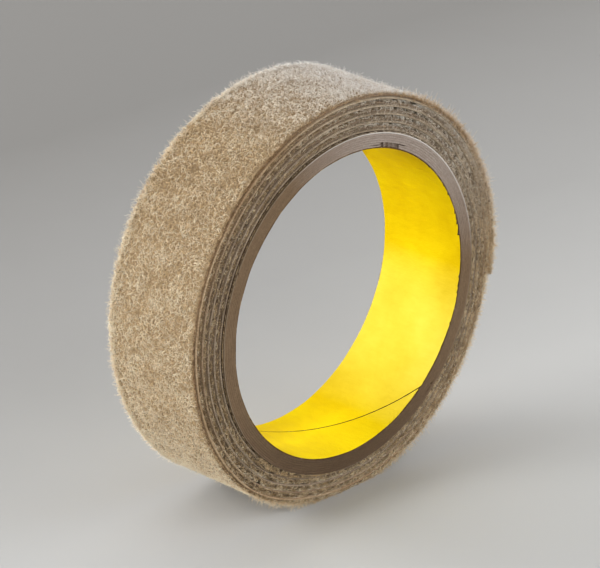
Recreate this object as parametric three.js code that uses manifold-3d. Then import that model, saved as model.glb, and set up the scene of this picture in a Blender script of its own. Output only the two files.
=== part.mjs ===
// A roll of loop fastener tape on a spiral-wound paperboard core, standing on its rim.
// Millimetres, +Z up. The core's axis runs along Y. The origin is on the surface that the roll
// stands on, under the axis and midway across the tape.
import * as THREE from 'three';
import { mergeVertices } from 'three/addons/utils/BufferGeometryUtils.js';
import Module from 'manifold-3d';

// Driving dimensions of the core
const BORE_DIAMETER = 76.2;
const CORE_WIDTH = 25.4;
const LINER_THICKNESS = 0.3;
const BOARD_THICKNESS = 0.5;
const OUTER_PLY_THICKNESS = 0.3;
const SEAM_LEAD = 144;
const SEAM_GAP = 0.4;

// Where each ply's seam meets the front face, in degrees from +X towards +Z
const LINER_SEAM_ANGLE = 310;
const BOARD_SEAM_ANGLES = [78, 195, 66, 264, 314, 20];
const OUTER_PLY_SEAM_ANGLE = 153;

// Driving dimensions of the tape
const TAPE_WIDTH = 28;
const CORE_PROUD = 0.5;
const BASE_THICKNESS = 0.5;
const PILE_HEIGHT = 1;
const SELVEDGE = 0.2;

// How the tape is wound: whole laps and a part lap, clockwise as seen from the front
const WHOLE_LAPS = 4;
const START_ANGLE = 225;
const END_ANGLE = -8;
const CLIMB_ANGLE = 40;
const TURN_CLEARANCE = 0.3;
const LOOSENESS = 0.16;
const LOOSEST_ANGLE = 127;
const STANDING_FLAT_DEPTH = 0.5;

// What fixes the tape's start to the core
const ADHESIVE_THICKNESS = 0.15;
const ADHESIVE_LENGTH = 25;
const ADHESIVE_INSET = 1.5;

// The free tail, divided where it bends as it peels
const TAIL_SEGMENTS = 4;
const TAIL_SEGMENT_ANGLE = 15;
const HINGE_GAP = 0.3;
const PEEL_ANGLE = 30;

// Fineness, and the bond line left between layers that are glued or woven together
const BOND_LINE = 0.05;
const FACETS_PER_TURN = 72;
const SEAM_STEPS = 8;
const CUT_MARGIN = 1;
const MERGE_DISTANCE = 1e-3;

const DEGREE = Math.PI / 180;
const STEP_ANGLE = 360 / FACETS_PER_TURN;

const wasm = await Module();
wasm.setup();

const TAPE_FRONT = -TAPE_WIDTH / 2;
const TAPE_BACK = TAPE_WIDTH / 2;
const CORE_FRONT = TAPE_FRONT - CORE_PROUD;
const CORE_BACK = CORE_FRONT + CORE_WIDTH;

const BORE_RADIUS = BORE_DIAMETER / 2;
const FIRST_BOARD_RADIUS = BORE_RADIUS + LINER_THICKNESS + BOND_LINE;
const BOARD_PITCH = BOARD_THICKNESS + BOND_LINE;
const OUTER_PLY_RADIUS = FIRST_BOARD_RADIUS + BOARD_SEAM_ANGLES.length * BOARD_PITCH;
const CORE_RADIUS = OUTER_PLY_RADIUS + OUTER_PLY_THICKNESS;
const ADHESIVE_RADIUS = CORE_RADIUS + BOND_LINE;
const WINDING_RADIUS = ADHESIVE_RADIUS + ADHESIVE_THICKNESS + BOND_LINE;

const TAPE_SWEEP = WHOLE_LAPS * 360 + START_ANGLE - END_ANGLE;
const TAIL_SWEEP = TAPE_SWEEP - TAIL_SEGMENTS * TAIL_SEGMENT_ANGLE;

// Materials

const PAPER_YELLOW = { color: 0xf6cf12, roughness: 0.45, metalness: 0 };
const BOARD_BROWN = { color: 0x77675b, roughness: 0.9, metalness: 0 };
const KRAFT_PALE = { color: 0x8f8175, roughness: 0.85, metalness: 0 };
const ADHESIVE_AMBER = { color: 0xcdbb8c, roughness: 0.4, metalness: 0 };
const WOVEN_TAN = { color: 0xb79f7c, roughness: 0.85, metalness: 0 };
const LOOP_BEIGE = { color: 0xa8926f, roughness: 0.95, metalness: 0 };

function namedMesh(name, geometry, finish) {
  const mesh = new THREE.Mesh(geometry, new THREE.MeshStandardMaterial(finish));
  mesh.name = name;
  return mesh;
}

// Solids

function onRoll(radius, angle, y) {
  return new THREE.Vector3(radius * Math.cos(angle * DEGREE), y, radius * Math.sin(angle * DEGREE));
}

function signedVolume(positions, faces) {
  const corner = (index) => new THREE.Vector3().fromArray(positions, 3 * index);
  let sixfold = 0;
  for (let face = 0; face < faces.length; face += 3) {
    const [a, b, c] = [corner(faces[face]), corner(faces[face + 1]), corner(faces[face + 2])];
    sixfold += a.dot(b.cross(c));
  }
  return sixfold / 6;
}

function closedGeometry(positions, faces) {
  const outward = signedVolume(positions, faces) > 0 ? faces : faces.toReversed();
  const geometry = new THREE.BufferGeometry();
  geometry.setAttribute('position', new THREE.Float32BufferAttribute(positions, 3));
  geometry.setIndex(outward);
  return geometry;
}

// A bar through a row of four-cornered sections, closed at both ends.
function barThrough(sections) {
  const positions = sections.flat().flatMap((point) => point.toArray());
  const faces = [];
  for (let station = 0; station + 1 < sections.length; station++) {
    for (let corner = 0; corner < 4; corner++) {
      const here = 4 * station + corner;
      const beside = 4 * station + (corner + 1) % 4;
      faces.push(here, beside, beside + 4, here, beside + 4, here + 4);
    }
  }
  const last = positions.length / 3 - 4;
  faces.push(2, 1, 0, 3, 2, 0);
  faces.push(last, last + 1, last + 2, last, last + 2, last + 3);
  return closedGeometry(positions, faces);
}

// A three.js primitive as a closed mesh whose faces share their corners.
function closedPrimitive(primitive) {
  primitive.deleteAttribute('normal');
  primitive.deleteAttribute('uv');
  const merged = mergeVertices(primitive, MERGE_DISTANCE);
  const positions = Array.from(merged.getAttribute('position').array);
  return closedGeometry(positions, Array.from(merged.getIndex().array));
}

function toManifold(geometry) {
  const mesh = new wasm.Mesh({
    numProp: 3,
    vertProperties: new Float32Array(geometry.getAttribute('position').array),
    triVerts: Uint32Array.from(geometry.getIndex().array),
  });
  return new wasm.Manifold(mesh);
}

function cut(geometry, cutter) {
  const mesh = toManifold(geometry).subtract(toManifold(cutter)).getMesh();
  return closedGeometry(Array.from(mesh.vertProperties), Array.from(mesh.triVerts));
}

function tube(innerRadius, outerRadius) {
  const profile = [
    new THREE.Vector2(innerRadius, CORE_FRONT),
    new THREE.Vector2(outerRadius, CORE_FRONT),
    new THREE.Vector2(outerRadius, CORE_BACK),
    new THREE.Vector2(innerRadius, CORE_BACK),
    new THREE.Vector2(innerRadius, CORE_FRONT),
  ];
  return closedPrimitive(new THREE.LatheGeometry(profile, FACETS_PER_TURN));
}

// The core: each ply is a strip wound in a helix, so in this width it is a tube with one slanting
// seam where the strip's edges meet.

function seamBlade(innerRadius, outerRadius, frontAngle) {
  const near = innerRadius - CUT_MARGIN;
  const far = outerRadius + CUT_MARGIN;
  const nearHalf = SEAM_GAP / 2 / near / DEGREE;
  const farHalf = SEAM_GAP / 2 / far / DEGREE;
  const sections = [];
  for (let step = 0; step <= SEAM_STEPS; step++) {
    const along = THREE.MathUtils.lerp(-CUT_MARGIN, CORE_WIDTH + CUT_MARGIN, step / SEAM_STEPS);
    const y = CORE_FRONT + along;
    const angle = frontAngle - 360 * along / SEAM_LEAD;
    sections.push([
      onRoll(near, angle - nearHalf, y),
      onRoll(far, angle - farHalf, y),
      onRoll(far, angle + farHalf, y),
      onRoll(near, angle + nearHalf, y),
    ]);
  }
  return barThrough(sections);
}

function woundPly(innerRadius, thickness, seamAngle) {
  const outerRadius = innerRadius + thickness;
  return cut(tube(innerRadius, outerRadius), seamBlade(innerRadius, outerRadius, seamAngle));
}

function makeCore() {
  const core = new THREE.Group();
  const liner = woundPly(BORE_RADIUS, LINER_THICKNESS, LINER_SEAM_ANGLE);
  core.add(namedMesh('core_liner_paper', liner, PAPER_YELLOW));
  BOARD_SEAM_ANGLES.forEach((seamAngle, index) => {
    const ply = woundPly(FIRST_BOARD_RADIUS + index * BOARD_PITCH, BOARD_THICKNESS, seamAngle);
    core.add(namedMesh(`core_board_ply_${index + 1}`, ply, BOARD_BROWN));
  });
  const outerPly = woundPly(OUTER_PLY_RADIUS, OUTER_PLY_THICKNESS, OUTER_PLY_SEAM_ANGLE);
  core.add(namedMesh('core_outer_ply', outerPly, KRAFT_PALE));
  return core;
}

// The winding: a place on the tape is the angle swept since its start. Each lap keeps its height
// over the core until it nears the start's angle, and climbs there by one turn onto itself.

function angleAt(sweep) {
  return START_ANGLE - sweep;
}

function lapsUnder(sweep) {
  const whole = Math.floor(sweep / 360);
  return whole + THREE.MathUtils.smoothstep(sweep - 360 * whole, 360 - CLIMB_ANGLE, 360);
}

// Turns lie closer on the side where the roll was pulled tight.
function turnPitch(sweep) {
  const slack = LOOSENESS * Math.cos((angleAt(sweep) - LOOSEST_ANGLE) * DEGREE);
  return BASE_THICKNESS + PILE_HEIGHT + TURN_CLEARANCE + slack;
}

function baseInner(sweep) {
  return WINDING_RADIUS + lapsUnder(sweep) * turnPitch(sweep);
}

function baseOuter(sweep) {
  return baseInner(sweep) + BASE_THICKNESS;
}

function pileInner(sweep) {
  return baseOuter(sweep) + BOND_LINE;
}

function pileOuter(sweep) {
  return baseInner(sweep) + turnPitch(sweep) - TURN_CLEARANCE;
}

const BASE_LAYER = { inner: baseInner, outer: baseOuter, front: TAPE_FRONT, back: TAPE_BACK };
const PILE_LAYER = {
  inner: pileInner,
  outer: pileOuter,
  front: TAPE_FRONT + SELVEDGE,
  back: TAPE_BACK - SELVEDGE,
};
const ADHESIVE_LAYER = {
  inner: () => ADHESIVE_RADIUS,
  outer: () => ADHESIVE_RADIUS + ADHESIVE_THICKNESS,
  front: CORE_FRONT + ADHESIVE_INSET,
  back: CORE_BACK - ADHESIVE_INSET,
};

function stationsBetween(from, to) {
  const steps = Math.ceil((to - from) / STEP_ANGLE);
  return Array.from({ length: steps + 1 }, (_, step) => THREE.MathUtils.lerp(from, to, step / steps));
}

// One layer's section, whose outer corners may lie further along the tape than its inner ones.
function layerSection(layer, sweep, outerSweep) {
  const inner = layer.inner(sweep);
  const outer = layer.outer(outerSweep);
  return [
    onRoll(inner, angleAt(sweep), layer.front),
    onRoll(outer, angleAt(outerSweep), layer.front),
    onRoll(outer, angleAt(outerSweep), layer.back),
    onRoll(inner, angleAt(sweep), layer.back),
  ];
}

// A stretch of one layer. Its ends can lean back, so that a bend outwards doesn't pinch them.
function tapeStretch(layer, from, to, leanFrom = 0, leanTo = 0) {
  const stations = stationsBetween(from, to);
  const outerStations = [...stations];
  outerStations[0] += leanFrom;
  outerStations[stations.length - 1] -= leanTo;
  return barThrough(stations.map((sweep, index) => layerSection(layer, sweep, outerStations[index])));
}

function arcAngle(length, radius) {
  return length / radius / DEGREE;
}

// The sweep by which the pile's top is drawn back at a hinge, for half of the bend there.
function hingeLean(sweep) {
  const height = pileOuter(sweep) - baseInner(sweep) - BASE_THICKNESS / 2;
  return arcAngle(height * Math.tan(PEEL_ANGLE / 2 * DEGREE), pileOuter(sweep));
}

function hingeHalfGap(sweep) {
  return arcAngle(HINGE_GAP / 2, baseInner(sweep));
}

function printLeastGap(name, layer, to) {
  const stations = stationsBetween(0, to);
  let least = Infinity;
  for (const below of stations) {
    const top = onRoll(layer.outer(below), angleAt(below), 0);
    for (const above of stations.filter((sweep) => sweep > below + 180)) {
      least = Math.min(least, top.distanceTo(onRoll(layer.inner(above), angleAt(above), 0)));
    }
  }
  console.log(`${name}: least gap to itself ${least.toFixed(2)} mm`);
}

const WINDING_END = TAIL_SWEEP - hingeHalfGap(TAIL_SWEEP);
const PLAIN_PILE = tapeStretch(PILE_LAYER, 0, WINDING_END, 0, hingeLean(TAIL_SWEEP));
PLAIN_PILE.computeBoundingBox();
const FLOOR = PLAIN_PILE.boundingBox.min.z + STANDING_FLAT_DEPTH;

function floorBlock() {
  const width = 2 * CORE_RADIUS;
  const depth = STANDING_FLAT_DEPTH + CUT_MARGIN;
  const block = new THREE.BoxGeometry(width, TAPE_WIDTH + CUT_MARGIN, depth);
  block.translate(0, 0, FLOOR - depth / 2);
  return closedPrimitive(block);
}

function makeWinding() {
  const winding = new THREE.Group();
  const adhesiveSweep = arcAngle(ADHESIVE_LENGTH, ADHESIVE_RADIUS);
  const adhesive = tapeStretch(ADHESIVE_LAYER, 0, adhesiveSweep);
  const base = tapeStretch(BASE_LAYER, 0, WINDING_END);
  const pile = cut(PLAIN_PILE, floorBlock());
  winding.add(namedMesh('start_adhesive_strip', adhesive, ADHESIVE_AMBER));
  winding.add(namedMesh('tape_base_winding', base, WOVEN_TAN));
  winding.add(namedMesh('loop_pile_winding', pile, LOOP_BEIGE));
  printLeastGap('tape_base_winding', BASE_LAYER, WINDING_END);
  printLeastGap('loop_pile_winding', PILE_LAYER, WINDING_END);
  return winding;
}

// The tail: each segment hangs on a hinge line in the middle of the base, and carries the next.

function hingePoint(sweep) {
  return onRoll(baseInner(sweep) + BASE_THICKNESS / 2, angleAt(sweep), 0);
}

function makeTailSegment(number, parentPivot) {
  const hinge = TAIL_SWEEP + (number - 1) * TAIL_SEGMENT_ANGLE;
  const nextHinge = hinge + TAIL_SEGMENT_ANGLE;
  const isLast = number === TAIL_SEGMENTS;
  const from = hinge + hingeHalfGap(hinge);
  const to = isLast ? nextHinge : nextHinge - hingeHalfGap(nextHinge);
  const leanTo = isLast ? 0 : hingeLean(nextHinge);
  const pivot = hingePoint(hinge);
  const base = tapeStretch(BASE_LAYER, from, to);
  const pile = tapeStretch(PILE_LAYER, from, to, hingeLean(hinge), leanTo);
  base.translate(-pivot.x, 0, -pivot.z);
  pile.translate(-pivot.x, 0, -pivot.z);
  const segment = new THREE.Group();
  segment.name = `tail_hinge_${number}`;
  segment.position.subVectors(pivot, parentPivot);
  segment.add(namedMesh(`tail_base_${number}`, base, WOVEN_TAN));
  segment.add(namedMesh(`tail_pile_${number}`, pile, LOOP_BEIGE));
  if (!isLast) {
    segment.add(makeTailSegment(number + 1, pivot));
  }
  return segment;
}

const roll = new THREE.Group();
roll.position.z = -FLOOR;
roll.add(makeCore());
roll.add(makeWinding());
roll.add(makeTailSegment(1, new THREE.Vector3()));

const part = new THREE.Group();
part.add(roll);

export default part;
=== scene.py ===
"""The looks of a roll of loop fastener tape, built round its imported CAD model.

Lengths are in millimetres until a mesh is made, and a place on the tape is the angle swept since its
start, as in the CAD model: the axis runs along Y and angles go from +X towards +Z.
"""
import math

import bpy
import numpy as np
from mathutils import Matrix, Vector


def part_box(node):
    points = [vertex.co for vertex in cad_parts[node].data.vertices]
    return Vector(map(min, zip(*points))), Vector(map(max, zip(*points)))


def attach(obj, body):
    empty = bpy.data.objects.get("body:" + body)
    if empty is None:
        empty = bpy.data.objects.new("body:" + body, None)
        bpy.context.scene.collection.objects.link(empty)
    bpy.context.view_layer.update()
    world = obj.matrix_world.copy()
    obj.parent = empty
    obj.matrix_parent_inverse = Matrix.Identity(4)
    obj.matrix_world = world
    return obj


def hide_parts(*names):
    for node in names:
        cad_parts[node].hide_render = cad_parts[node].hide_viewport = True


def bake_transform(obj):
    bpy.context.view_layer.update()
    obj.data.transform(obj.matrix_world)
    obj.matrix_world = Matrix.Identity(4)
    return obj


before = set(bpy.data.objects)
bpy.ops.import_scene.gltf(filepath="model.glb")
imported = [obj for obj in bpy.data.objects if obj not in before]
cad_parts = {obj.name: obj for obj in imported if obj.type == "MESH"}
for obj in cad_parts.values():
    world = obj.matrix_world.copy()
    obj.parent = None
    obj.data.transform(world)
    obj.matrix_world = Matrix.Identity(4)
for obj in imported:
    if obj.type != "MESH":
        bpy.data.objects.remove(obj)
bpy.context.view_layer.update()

MM = 0.001
rng = np.random.default_rng(2026)


def box_mm(node):
    low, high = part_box(node)
    return np.array(low) / MM, np.array(high) / MM


# Sizes from the frame
LINER_LOW, LINER_HIGH = box_mm("core_liner_paper")
BASE_LOW, BASE_HIGH = box_mm("tape_base_winding")
PILE_LOW, PILE_HIGH = box_mm("loop_pile_winding")
AXIS_HEIGHT = (LINER_LOW[2] + LINER_HIGH[2]) / 2
LINER_OUTER = LINER_HIGH[0]
WRAP_OUTER = box_mm("core_outer_ply")[1][0]
CORE_FRONT = LINER_LOW[1]
CORE_BACK = LINER_HIGH[1]
TAPE_FRONT = BASE_LOW[1]
TAPE_BACK = BASE_HIGH[1]
PILE_FRONT = PILE_LOW[1]
PILE_BACK = PILE_HIGH[1]

# How the core's plies are wound
SEAM_LEAD = 144
RING_STATIONS = 300
WALL_STEPS = 17
PAPER_BEVEL = 0.05
LINER_THICKNESS = 0.3
LINER_SEAM_ANGLE = 310
LINER_SEAM_GAP = 0.6
LINER_STATIONS = 900
BORE_RADIUS = LINER_OUTER - LINER_THICKNESS
BOARD_THICKNESS = 0.5
BOARD_BEVEL = 0.025
BOARD_SEAM_ANGLES = [78, 195, 66, 264, 314, 20]
BOARD_SEAM_GAPS = [0.15, 0.25, 0.15, 0.25, 1.0, 0.25]
WRAP_THICKNESS = 0.3
WRAP_SEAM_ANGLE = 153
WRAP_SEAM_GAP = 1.0

# How the core's ends are cut and worn
LINER_FRONT_INSET = 0.1
LINER_FRONT_RAG = 0.05
LINER_BACK_INSET = 0.08
LINER_BACK_RAG = 0.04
RAG_APART = 40
NICK_START = 0.7
NICK_DEPTH = 0.38
BOARD_FRONT_UNEVEN = 0.02
BOARD_BACK_UNEVEN = 0.05
BOARD_CHIP_ANGLES = [78.5, 65, None, None, 312, None]
CHIP_HALF = 1.1
CHIP_FADE = 1.5
CHIP_WIDTH = 0.22
CHIP_DEPTH = 0.7
SCUFFED_PLIES = 2
SCUFF_ANGLE = 71.5
SCUFF_HALF_ANGLE = 5.5
SCUFF_DEPTH = 0.45
SCUFF_MEAN = 0.6
SCUFF_TEAR = 0.45

# How the tape is wound, as in the CAD model
BASE_THICKNESS = 0.5
PILE_HEIGHT = 1
BOND_LINE = 0.05
WINDING_RADIUS = 42.3
CORE_GAP = WINDING_RADIUS - WRAP_OUTER
START_ANGLE = 225
CLIMB_ANGLE = 40
TURN_CLEARANCE = 0.3
LOOSENESS = 0.16
LOOSEST_ANGLE = 127
TAPE_SWEEP = 1673
END_CRUSH = 0.7
END_CRUSH_ANGLE = 10
TAIL_SEGMENTS = 4
TAIL_SEGMENT_ANGLE = 15
TIP_SWEEP = TAPE_SWEEP - TAIL_SEGMENT_ANGLE / 2
FIXED_SWEEP = TIP_SWEEP - TAIL_SEGMENTS * TAIL_SEGMENT_ANGLE
MEAN_RADIUS = 47
TAPE_LENGTH = math.radians(TAPE_SWEEP) * MEAN_RADIUS
FLOOR_CLEARANCE = 0.02

# Angles round the roll about which handling has changed it, or about which light and shade are painted on it
LIT_ANGLE = 60
SHEEN_PAPER_ANGLE = -35
LIT_PAPER_ANGLE = -96
SHADED_BOARD_ANGLE = -95
GLOW_ANGLE = 115
NICKED_ANGLE = 20
SMOOTHEST_ANGLE = 150
HAZIEST_ANGLE = 62
FUZZIEST_ANGLE = -30
SHADED_TREAD_ANGLE = 128
HANGING_ANGLE = -20


# The winding

def smoothstep(value):
    share = np.clip(value, 0, 1)
    return share * share * (3 - 2 * share)


def angle_from(angle, centre):
    """How far an angle is from a centre, from -180 to 180."""
    return (angle - centre + 180) % 360 - 180


def near_angle(angle, centre, low, high):
    """1 near a centre angle to 0 away from it: low and high are the cosines of how far off it is where
    this starts and where it is full."""
    return smoothstep((np.cos(np.radians(angle - centre)) - low) / (high - low))


def angle_at(sweep):
    return START_ANGLE - sweep


def along_tape(sweep):
    return np.radians(sweep) * MEAN_RADIUS


def laps_under(sweep):
    whole = np.floor(sweep / 360)
    return whole + smoothstep((sweep - 360 * whole - 360 + CLIMB_ANGLE) / CLIMB_ANGLE)


def turn_pitch(sweep):
    slack = LOOSENESS * np.cos(np.radians(angle_at(sweep) - LOOSEST_ANGLE))
    return BASE_THICKNESS + PILE_HEIGHT + TURN_CLEARANCE + slack


def base_inner(sweep):
    return WINDING_RADIUS + laps_under(sweep) * turn_pitch(sweep)


def pile_inner(sweep):
    return base_inner(sweep) + BASE_THICKNESS + BOND_LINE


def pile_height(sweep):
    """The pile's height, lower where the scissors have crushed it at the tape's end."""
    crushed = END_CRUSH * smoothstep((sweep - TAPE_SWEEP + END_CRUSH_ANGLE) / END_CRUSH_ANGLE)
    return (turn_pitch(sweep) - TURN_CLEARANCE - BASE_THICKNESS - BOND_LINE) * (1 - crushed)


def on_roll(radius, degrees, y):
    angle = np.radians(degrees)
    radius, angle, y = np.broadcast_arrays(radius, angle, y)
    return np.stack([radius * np.cos(angle), y, AXIS_HEIGHT + radius * np.sin(angle)], -1)


def above_floor(points):
    points[..., 2] = np.maximum(points[..., 2], FLOOR_CLEARANCE)
    return points


def arc_degrees(length, radius):
    return np.degrees(length / radius)


# Meshes

ROW_MARGIN = 0.05
ROW_FILL = 0.9
CAP_MAP_RADIUS = 0.004
CAP_MAP_CENTRE = 0.005


def mesh_object(name, points, corners, sizes, material, uv=None, sharp=None, **attributes):
    """A mesh piece. corners holds each face's points in turn, and sizes how many each face has."""
    mesh = bpy.data.meshes.new(name)
    mesh.vertices.add(len(points))
    mesh.vertices.foreach_set("co", (points * MM).astype(np.float32).ravel())
    mesh.loops.add(len(corners))
    mesh.loops.foreach_set("vertex_index", corners.astype(np.int32))
    starts = np.concatenate([[0], np.cumsum(sizes)[:-1]])
    mesh.polygons.add(len(sizes))
    mesh.polygons.foreach_set("loop_start", starts.astype(np.int32))
    mesh.update(calc_edges=True)
    for attribute, values in attributes.items():
        width = values.shape[1] if values.ndim > 1 else 1
        kind, field = ("FLOAT_VECTOR", "vector") if width == 3 else ("FLOAT", "value")
        layer = mesh.attributes.new(attribute, kind, "POINT")
        layer.data.foreach_set(field, values.astype(np.float32).ravel())
    if uv is not None:
        layer = mesh.uv_layers.new(name="OFBake")
        layer.uv.foreach_set("vector", uv.astype(np.float32).ravel())
    mesh.shade_smooth()
    if sharp is not None:
        mesh.set_sharp_from_angle(angle=math.radians(sharp))
    mesh.materials.append(material)
    piece = bpy.data.objects.new(name, mesh)
    bpy.context.scene.collection.objects.link(piece)
    return piece


def signed_volume(points, quads):
    a, b, c, d = (points[quads[:, corner]] for corner in range(4))
    return np.einsum("ij,ij", a, np.cross(b, c)) + np.einsum("ij,ij", a, np.cross(c, d))


def quad_map(left, right, low, high):
    """Where the corners of quads lie on the map."""
    pairs = ((left, low), (left, high), (right, high), (right, low))
    return np.stack([np.stack(pair, -1) for pair in pairs], -2).reshape(-1, 4, 2)


def loft(name, sections, material, rows=1, sharp=40, **attributes):
    """A closed bar through sections, an array of stations by corners by xyz. rows lays its map out."""
    stations, count = sections.shape[:2]
    points = sections.reshape(-1, 3)
    station, corner = np.meshgrid(np.arange(stations - 1), np.arange(count), indexing="ij")
    here = station * count + corner
    beside = station * count + (corner + 1) % count
    quads = np.stack([here, beside, beside + count, here + count], -1).reshape(-1, 4)
    per_row = math.ceil((stations - 1) / rows)
    row = station // per_row
    left = (station - row * per_row) / per_row
    right = left + 1 / per_row
    low = (row + ROW_MARGIN + ROW_FILL * corner / count) / rows
    high = low + ROW_FILL / count / rows
    uv = quad_map(left, right, low, high)
    first_cap = np.arange(count)[::-1]
    last_cap = np.arange(count) + (stations - 1) * count
    if signed_volume(points, quads) < 0:
        quads = quads[:, ::-1]
        uv = uv[:, ::-1]
        first_cap = first_cap[::-1]
        last_cap = last_cap[::-1]
    cap_angle = np.linspace(0, 2 * np.pi, count, endpoint=False)
    cap_uv = CAP_MAP_RADIUS * np.stack([np.cos(cap_angle), np.sin(cap_angle)], -1) + CAP_MAP_CENTRE
    corners = np.concatenate([quads.ravel(), first_cap, last_cap])
    sizes = np.concatenate([np.full(len(quads), 4), [count, count]])
    uv = np.concatenate([uv.reshape(-1, 2), cap_uv, cap_uv])
    flat = {key: values.reshape(len(points), -1) for key, values in attributes.items()}
    return mesh_object(name, points, corners, sizes, material, uv, sharp, **flat)


# Noise for shapes and tones: waves of random direction and phase

def waves(count, shortest, longest):
    length = rng.uniform(shortest, longest, count)
    direction = rng.uniform(0, 2 * np.pi, count)
    phase = rng.uniform(0, 2 * np.pi, count)
    wave_x = 2 * np.pi / length * np.cos(direction)
    wave_y = 2 * np.pi / length * np.sin(direction)

    def height(x, y):
        total = np.zeros(np.broadcast(x, y).shape)
        for turn_x, turn_y, start in zip(wave_x, wave_y, phase):
            total += np.sin(turn_x * x + turn_y * y + start)
        return total / math.sqrt(count / 2)

    return height


# Tones from dark to light, with the values of the pattern that they stand at
PAPER_STOPS = (0.3, 0.5, 0.7)
DEEP_PAPER = ((203, 167, 4), (217, 186, 6), (225, 199, 12))
# The second paper tones are painted light at the bore's foot, and the third a painted sheen
LIT_PAPER = ((236, 204, 9), (250, 221, 13), (255, 231, 20))
SHEEN_PAPER = ((214, 191, 46), (227, 206, 64), (236, 217, 80))
CUT_STOPS = (0.3, 0.6, 0.74)
CUT_PAPER = ((74, 54, 34), (116, 90, 60), (178, 158, 118))
BOARD_STOPS = (0.3, 0.52, 0.8)
BOARD = ((97, 77, 57), (126, 103, 78), (158, 133, 106))
# The pale board tones are painted light, the pale wrap tones a painted highlight on the wrap's front edge,
# and the dark board tones painted shade
LIT_BOARD = ((132, 116, 103), (165, 150, 139), (198, 186, 176))
SHADED_BOARD = ((73, 56, 41), (99, 79, 59), (131, 108, 85))
WRAP = ((113, 94, 74), (142, 123, 100), (171, 154, 131))
HIGHLIGHT_WRAP = ((190, 181, 172), (222, 215, 208), (243, 239, 234))
ADHESIVE_STOPS = (0.3, 0.7)
ADHESIVE = ((190, 170, 118), (214, 198, 150))
BASE_STOPS = (0.2, 0.4, 0.62)
GREY_BASE = ((94, 78, 61), (130, 112, 92), (177, 158, 134))
WARM_BASE = ((122, 92, 60), (167, 135, 97), (214, 187, 151))
# The pale base tones are painted light towards the roll's upper right
LIT_BASE = ((116, 98, 77), (156, 138, 114), (210, 193, 169))
MAT_STOPS = (0.3, 0.5, 0.72)
# The mat's wall tones are darker than its tread's: painted shade between the turns, grey to warm along the
# tape
SHADED_GREY_MAT = ((76, 61, 44), (111, 92, 72), (148, 127, 103))
SHADED_WARM_MAT = ((68, 46, 22), (113, 84, 50), (167, 133, 92))
LIT_MAT = ((88, 71, 54), (137, 116, 93), (180, 158, 132))
TREAD_MAT = ((108, 87, 59), (148, 124, 90), (183, 160, 125))
LOOP_STOPS = (0.1, 0.4, 0.65, 1.0)
TAN_LOOPS = ((98, 74, 45), (181, 150, 103), (228, 197, 148), (255, 243, 215))
# The pale loop tones are painted light towards the roll's upper right
LIT_LOOPS = ((122, 104, 86), (179, 160, 138), (219, 205, 188), (253, 249, 243))
# The warm loop tones are a painted glow of light shining through the last turn's pile
GLOW_LOOPS = ((104, 76, 43), (159, 122, 77), (199, 164, 114), (238, 212, 176))
FLOOR_STOPS = (0.06, 0.32, 0.58)
FLOOR = ((130, 128, 125), (162, 161, 159), (199, 199, 197))

# Where the materials change
NOISE_LOW = 0.3
NOISE_HIGH = 0.7
# Cosines of how far from the lit angle painted light starts and where it is full
LIT_COSINES = (0.5, 0.95)
BANDS_PER_UNIT = 20
SKIN_FROM = 0.01
SKIN_TO = 0.03
# Depths from the front over which the bore's paper takes painted light
LIT_PAPER_DEPTHS = (8, -2)
# Depths from the front where board that is set back takes painted shade
SHADED_RECESS_DEPTHS = (0.08, 0.7)
WHOLE_DEPTHS = (1.2, 0.9)
DUSTY_LENGTH = 0.45 * TAPE_LENGTH
LAST_TURN = math.radians(TAPE_SWEEP - 360) * MEAN_RADIUS
LAST_TURN_FADE = 1
WALL_FROM = 0.55
WALL_TO = 0.3
TIP_HEIGHTS = (0.35, 1.15)
RIB_PITCH = 0.7
WARP_PITCH = 0.5


# Materials

def srgb(red, green, blue):
    levels = np.array([red, green, blue]) / 255
    linear = np.where(levels <= 0.04045, levels / 12.92, ((levels + 0.055) / 1.055) ** 2.4)
    return (*linear, 1)


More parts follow.
